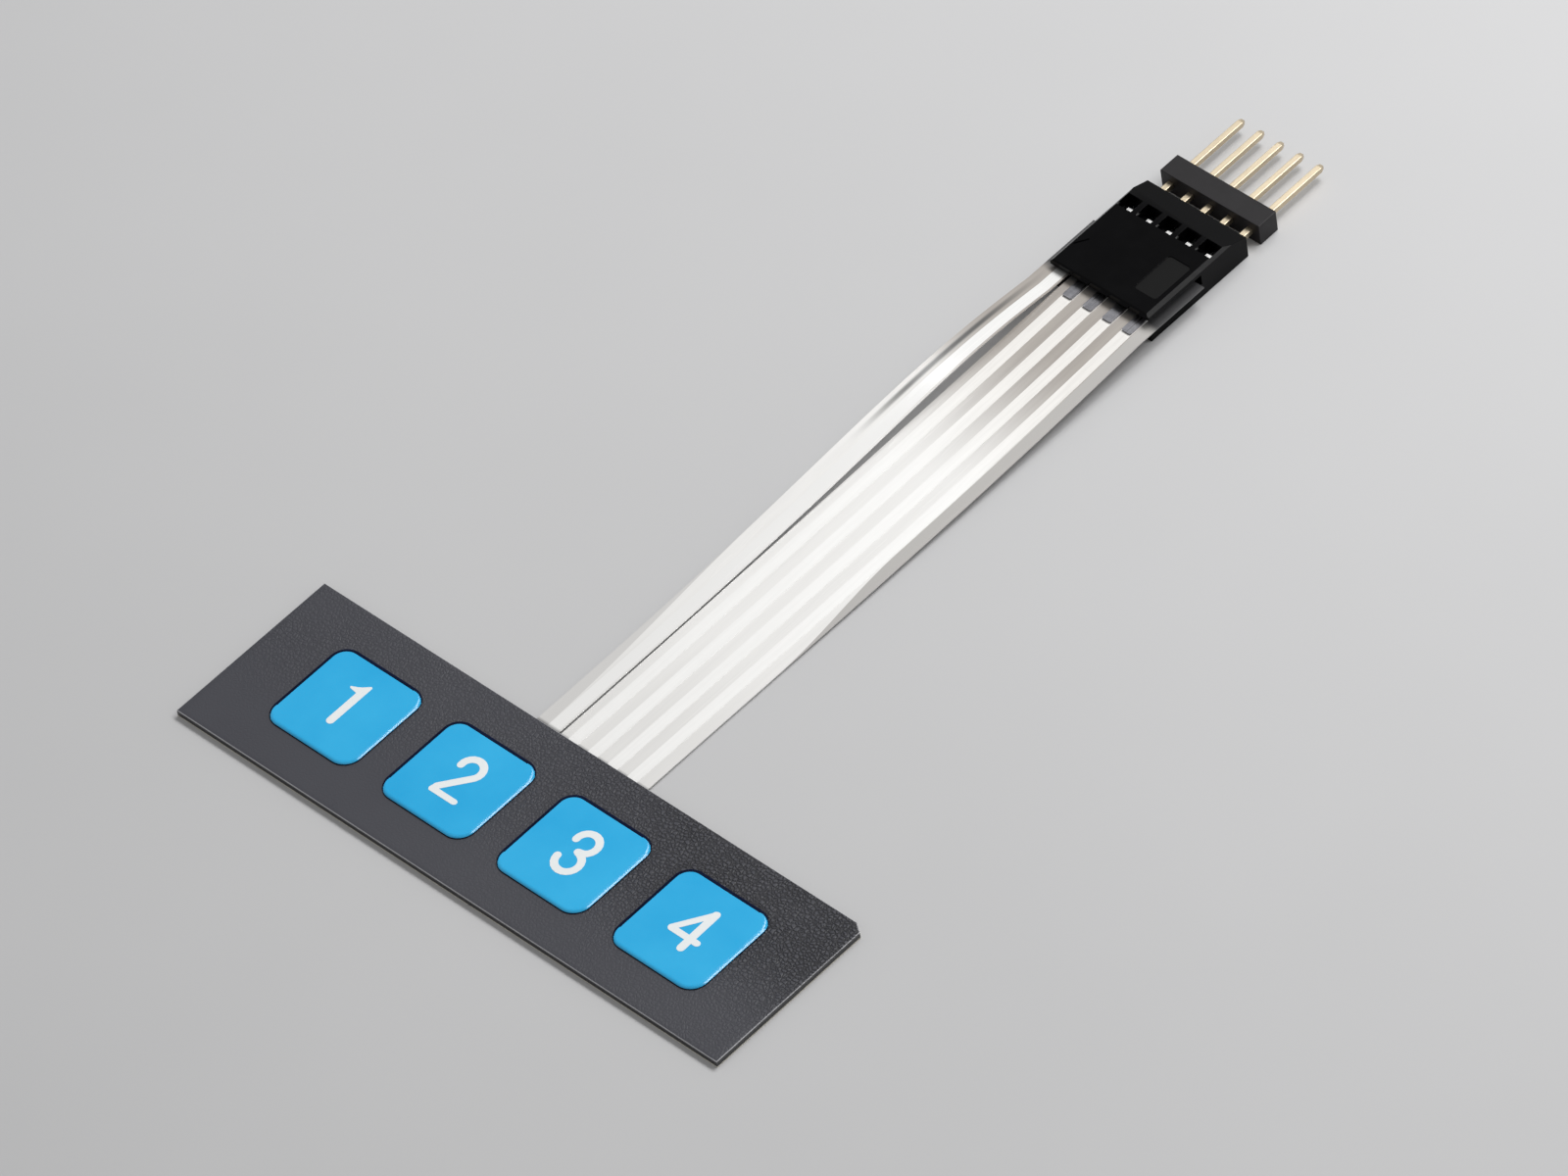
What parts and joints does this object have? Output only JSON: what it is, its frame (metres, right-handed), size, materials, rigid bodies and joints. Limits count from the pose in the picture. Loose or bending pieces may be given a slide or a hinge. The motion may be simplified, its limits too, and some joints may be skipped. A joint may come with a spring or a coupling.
{
  "type": "membrane keypad",
  "caption": "Flat membrane keypad with embossed blue keys on a dark textured overlay, a printed film tail and a crimp connector plugged onto a pin header.",
  "frame": {"origin": "centre of the keypad's rear face, on the release liner", "axes": "+X along the key row from the first key to the last, +Y along the tail towards the connector, +Z out of the key faces"},
  "size_m": [0.07, 0.1173, 0.0036],
  "materials": {
    "overlay": "fine matt texture",
    "key_blue": "gloss print",
    "figure_white": "white print",
    "adhesive": "dark adhesive",
    "film": "clear to milky polyester film",
    "silver_print": "matt silver ink",
    "spacer": "dark double-sided spacer",
    "rear_glue": "dark adhesive",
    "liner": "waxed release paper",
    "housing": "moulded black, semi-gloss",
    "contact": "tin-plated stamping",
    "header": "moulded black, satin",
    "pin": "thin gold plating"
  },
  "bodies": {
    "root": {"graphic_overlay": "overlay", "key_print_1": "key_blue", "key_print_2": "key_blue", "key_print_3": "key_blue", "key_print_4": "key_blue", "figure_1": "figure_white", "figure_2": "figure_white", "figure_3": "figure_white", "figure_4": "figure_white", "overlay_adhesive": "adhesive", "upper_circuit_film": "film", "lower_circuit_film": "film", "common_conductor": "silver_print", "key_conductor_1": "silver_print", "key_conductor_2": "silver_print", "key_conductor_3": "silver_print", "key_conductor_4": "silver_print", "circuit_spacer": "spacer", "rear_adhesive": "rear_glue", "liner_left": "liner", "liner_right": "liner", "connector_housing": "housing", "contact_1": "contact", "contact_2": "contact", "contact_3": "contact", "contact_4": "contact", "contact_5": "contact", "header_body": "header", "header_pin_1": "pin", "header_pin_2": "pin", "header_pin_3": "pin", "header_pin_4": "pin", "header_pin_5": "pin"}
  },
  "joints": []
}
